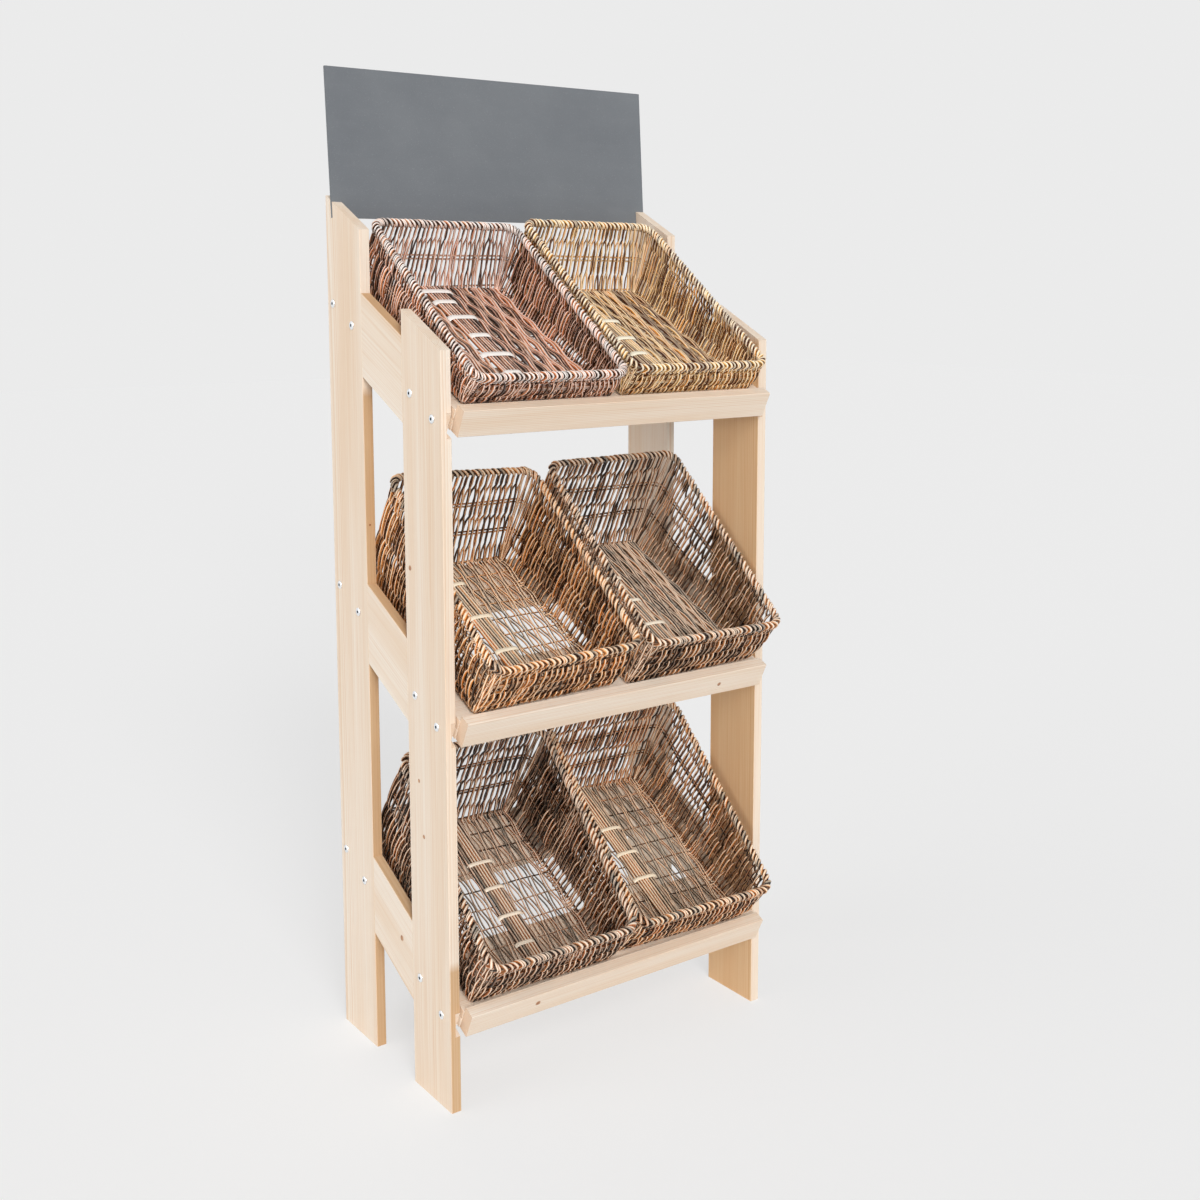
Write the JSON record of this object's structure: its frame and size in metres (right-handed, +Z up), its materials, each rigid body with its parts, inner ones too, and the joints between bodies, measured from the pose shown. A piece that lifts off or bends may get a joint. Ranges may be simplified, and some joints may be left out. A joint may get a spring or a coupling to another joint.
{
  "type": "tiered display stand",
  "caption": "Free-standing pine stand with sloping shelves that hold open woven baskets for goods, and a chalkboard in a slot at the top.",
  "frame": {"origin": "on the floor, in the middle of the stand's width and midway between its frontmost and rearmost points", "axes": "+Z up, the front faces -Y, +X to the right of someone who looks at the front"},
  "size_m": [0.7774, 0.5533, 1.9814],
  "materials": {
    "pine": "planed softwood, unvarnished",
    "slate_paint": "matt chalkboard paint",
    "zinc": "zinc plated, satin",
    "willow_brown": "woven willow, stained and lightly varnished",
    "willow_tan": "woven willow, stained and lightly varnished",
    "willow_golden": "woven willow, stained and lightly varnished",
    "willow_grey_brown": "woven willow, stained and lightly varnished",
    "willow_dark": "woven willow, stained and lightly varnished",
    "willow_mid_brown": "woven willow, stained and lightly varnished"
  },
  "bodies": {
    "stand": {"front_left_post": "pine", "back_left_post": "pine", "front_right_post": "pine", "back_right_post": "pine", "bottom_front_shelf_board": "pine", "bottom_rear_shelf_board": "pine", "bottom_lip": "pine", "bottom_left_rail": "pine", "bottom_left_batten": "pine", "bottom_left_bolt_1": "zinc", "bottom_left_bolt_2": "zinc", "bottom_left_bolt_3": "zinc", "bottom_left_bolt_4": "zinc", "bottom_right_rail": "pine", "bottom_right_batten": "pine", "bottom_right_bolt_1": "zinc", "bottom_right_bolt_2": "zinc", "bottom_right_bolt_3": "zinc", "bottom_right_bolt_4": "zinc", "middle_front_shelf_board": "pine", "middle_rear_shelf_board": "pine", "middle_lip": "pine", "middle_left_rail": "pine", "middle_left_batten": "pine", "middle_left_bolt_1": "zinc", "middle_left_bolt_2": "zinc", "middle_left_bolt_3": "zinc", "middle_left_bolt_4": "zinc", "middle_right_rail": "pine", "middle_right_batten": "pine", "middle_right_bolt_1": "zinc", "middle_right_bolt_2": "zinc", "middle_right_bolt_3": "zinc", "middle_right_bolt_4": "zinc", "top_front_shelf_board": "pine", "top_rear_shelf_board": "pine", "top_lip": "pine", "top_left_rail": "pine", "top_left_batten": "pine", "top_left_bolt_1": "zinc", "top_left_bolt_2": "zinc", "top_left_bolt_3": "zinc", "top_left_bolt_4": "zinc", "top_right_rail": "pine", "top_right_batten": "pine", "top_right_bolt_1": "zinc", "top_right_bolt_2": "zinc", "top_right_bolt_3": "zinc", "top_right_bolt_4": "zinc"},
    "chalkboard": {"chalkboard": "slate_paint"},
    "bottom_left_basket": {"bottom_left_basket": "willow_dark"},
    "bottom_right_basket": {"bottom_right_basket": "willow_mid_brown"},
    "middle_left_basket": {"middle_left_basket": "willow_golden"},
    "middle_right_basket": {"middle_right_basket": "willow_grey_brown"},
    "top_left_basket": {"top_left_basket": "willow_brown"},
    "top_right_basket": {"top_right_basket": "willow_tan"}
  },
  "joints": [
    {"name": "chalkboard_lift", "type": "slide", "parent": "stand", "child": "chalkboard", "axis": [0, 0.0645, 0.9979], "range_m": [0, 0.05]},
    {"name": "bottom_left_basket_lift", "type": "slide", "parent": "stand", "child": "bottom_left_basket", "axis": [0, -0.4384, 0.8988], "range_m": [0, 0.12]},
    {"name": "bottom_right_basket_lift", "type": "slide", "parent": "stand", "child": "bottom_right_basket", "axis": [0, -0.4384, 0.8988], "range_m": [0, 0.12]},
    {"name": "middle_left_basket_lift", "type": "slide", "parent": "stand", "child": "middle_left_basket", "axis": [0, -0.4384, 0.8988], "range_m": [0, 0.12]},
    {"name": "middle_right_basket_lift", "type": "slide", "parent": "stand", "child": "middle_right_basket", "axis": [0, -0.4384, 0.8988], "range_m": [0, 0.12]},
    {"name": "top_left_basket_lift", "type": "slide", "parent": "stand", "child": "top_left_basket", "axis": [0, -0.4384, 0.8988], "range_m": [0, 0.12]},
    {"name": "top_right_basket_lift", "type": "slide", "parent": "stand", "child": "top_right_basket", "axis": [0, -0.4384, 0.8988], "range_m": [0, 0.12]}
  ]
}
